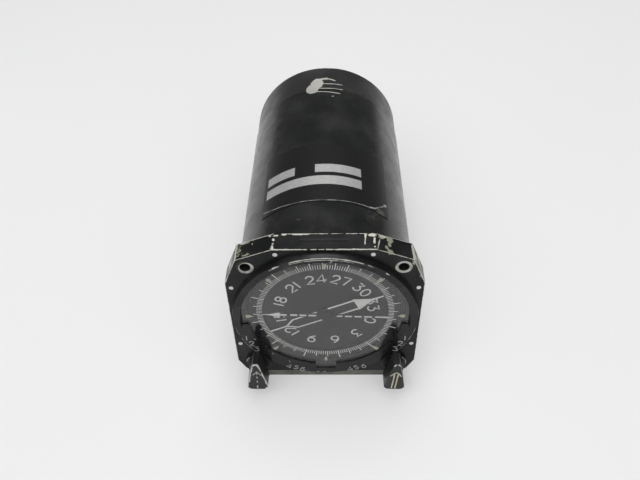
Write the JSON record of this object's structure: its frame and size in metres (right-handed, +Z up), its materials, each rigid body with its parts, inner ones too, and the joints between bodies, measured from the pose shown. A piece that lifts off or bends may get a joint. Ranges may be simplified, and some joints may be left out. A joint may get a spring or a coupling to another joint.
{
  "type": "radio magnetic indicator",
  "caption": "Round aircraft instrument with a turning compass card, a single and a double pointer, two corner knobs, a square bezel and a long black case",
  "frame": {"origin": "on the axis of the case tube, in the plane of the flange's rear face, which lies on the panel", "axes": "+X to the right as seen from the front, +Y from the dial back into the case, +Z up"},
  "size_m": [0.0812, 0.1691, 0.0843],
  "materials": {
    "black_paint": "satin black enamel, scuffed to metal and primer on the edges",
    "flange_paint": "satin black enamel on a cast alloy front, edges worn bare",
    "bare_steel": "turned and ground steel, dull",
    "alloy": "machined alloy plate and rod",
    "brass": "machined brass, dulled",
    "glass": "clear flat glass with an anti-glare coat and fine scratches",
    "rubber": "black rubber seal",
    "dial_paint": "matt black dial paint with white scale",
    "mark_paint": "aged cream paint",
    "pointer_paint": "matt white paint on thin metal",
    "knob_plastic": "black moulded plastic, worn on the edges",
    "board": "green laminate",
    "parts": "assorted electrical parts",
    "housing_metal": "dull plated instrument housing",
    "copper": "copper windings and laminations, varnished",
    "lamp_glass": "small clear bulb",
    "insert": "orange-brown moulded connector insert",
    "plate_metal": "printed metal plate with bare silver fields",
    "wire": "tied bundle of insulated wires"
  },
  "bodies": {
    "case": {"bezel_flange": "flange_paint", "mounting_bushes": "bare_steel", "face_screws": "pointer_paint", "bezel_ring": "black_paint", "cover_glass": "glass", "glass_gasket": "rubber", "dial_mask": "dial_paint", "index_marks": "mark_paint", "dial_lamps": "lamp_glass", "front_plate": "alloy", "plate_screws": "bare_steel", "card_bearings": "bare_steel", "gear_plate": "alloy", "short_posts": "alloy", "long_posts": "alloy", "rear_plate": "alloy", "card_motor": "housing_metal", "heading_synchro": "housing_metal", "double_synchro": "housing_metal", "single_synchro": "housing_metal", "board_posts": "alloy", "servo_board": "board", "board_parts": "parts", "wiring_loom": "wire", "cover_posts": "alloy", "case_tube": "black_paint", "rear_cover": "black_paint", "cover_screws": "bare_steel", "id_plate": "plate_metal", "connector_shell": "housing_metal", "connector_insert": "insert", "connector_contacts": "brass", "connector_screws": "bare_steel", "left_switch": "parts", "right_switch": "parts", "knob_bushes": "brass", "pocket_covers": "flange_paint"},
    "card": {"compass_card": "dial_paint", "card_hub": "alloy", "card_gear": "brass"},
    "front_pointer": {"single_pointer": "pointer_paint", "single_shaft": "bare_steel", "single_rotor": "copper"},
    "rear_pointer": {"double_pointer": "pointer_paint", "double_sleeve": "bare_steel", "double_rotor": "copper"},
    "motor_spindle": {"motor_pinion": "brass", "motor_rotor": "copper"},
    "heading_spindle": {"heading_gear": "brass", "heading_rotor": "copper"},
    "left_selector": {"left_knob": "knob_plastic", "left_knob_shaft": "bare_steel", "left_set_screw": "bare_steel"},
    "right_selector": {"right_knob": "knob_plastic", "right_knob_shaft": "bare_steel", "right_set_screw": "bare_steel"},
    "left_switch_shaft": {"left_switch_gear": "brass"},
    "right_switch_shaft": {"right_switch_gear": "brass"}
  },
  "joints": [
    {"name": "card_turn", "type": "hinge", "parent": "case", "child": "card", "pos_m": [0, -0.0055, 0], "axis": [0, 1, 0], "continuous": true},
    {"name": "front_pointer_turn", "type": "hinge", "parent": "case", "child": "front_pointer", "pos_m": [0, -0.0074, 0], "axis": [0, 1, 0], "continuous": true},
    {"name": "rear_pointer_turn", "type": "hinge", "parent": "case", "child": "rear_pointer", "pos_m": [0, -0.0065, 0], "axis": [0, 1, 0], "continuous": true},
    {"name": "motor_turn", "type": "hinge", "parent": "case", "child": "motor_spindle", "pos_m": [-0.01131, 0.0092, 0.01131], "axis": [0, 1, 0], "continuous": true},
    {"name": "heading_turn", "type": "hinge", "parent": "case", "child": "heading_spindle", "pos_m": [0.01697, 0.0092, 0.01697], "axis": [0, 1, 0], "continuous": true},
    {"name": "left_selector_turn", "type": "hinge", "parent": "case", "child": "left_selector", "pos_m": [-0.03093, -0.0163, -0.03093], "axis": [0, 1, 0], "range_deg": [0, 90]},
    {"name": "right_selector_turn", "type": "hinge", "parent": "case", "child": "right_selector", "pos_m": [0.03093, -0.0163, -0.03093], "axis": [0, 1, 0], "range_deg": [-90, 0]},
    {"name": "left_switch_turn", "type": "hinge", "parent": "case", "child": "left_switch_shaft", "pos_m": [-0.02174, -0.0025, -0.02174], "axis": [0, 1, 0], "range_deg": [-56.25, 0]},
    {"name": "right_switch_turn", "type": "hinge", "parent": "case", "child": "right_switch_shaft", "pos_m": [0.02174, -0.0025, -0.02174], "axis": [0, 1, 0], "range_deg": [0, 56.25]}
  ],
  "couplings": [
    {"joint": "card_turn", "follows": "motor_turn", "ratio": -0.33333},
    {"joint": "heading_turn", "follows": "motor_turn", "ratio": 0.33333},
    {"joint": "left_switch_turn", "follows": "left_selector_turn", "ratio": -0.625},
    {"joint": "right_switch_turn", "follows": "right_selector_turn", "ratio": -0.625}
  ]
}
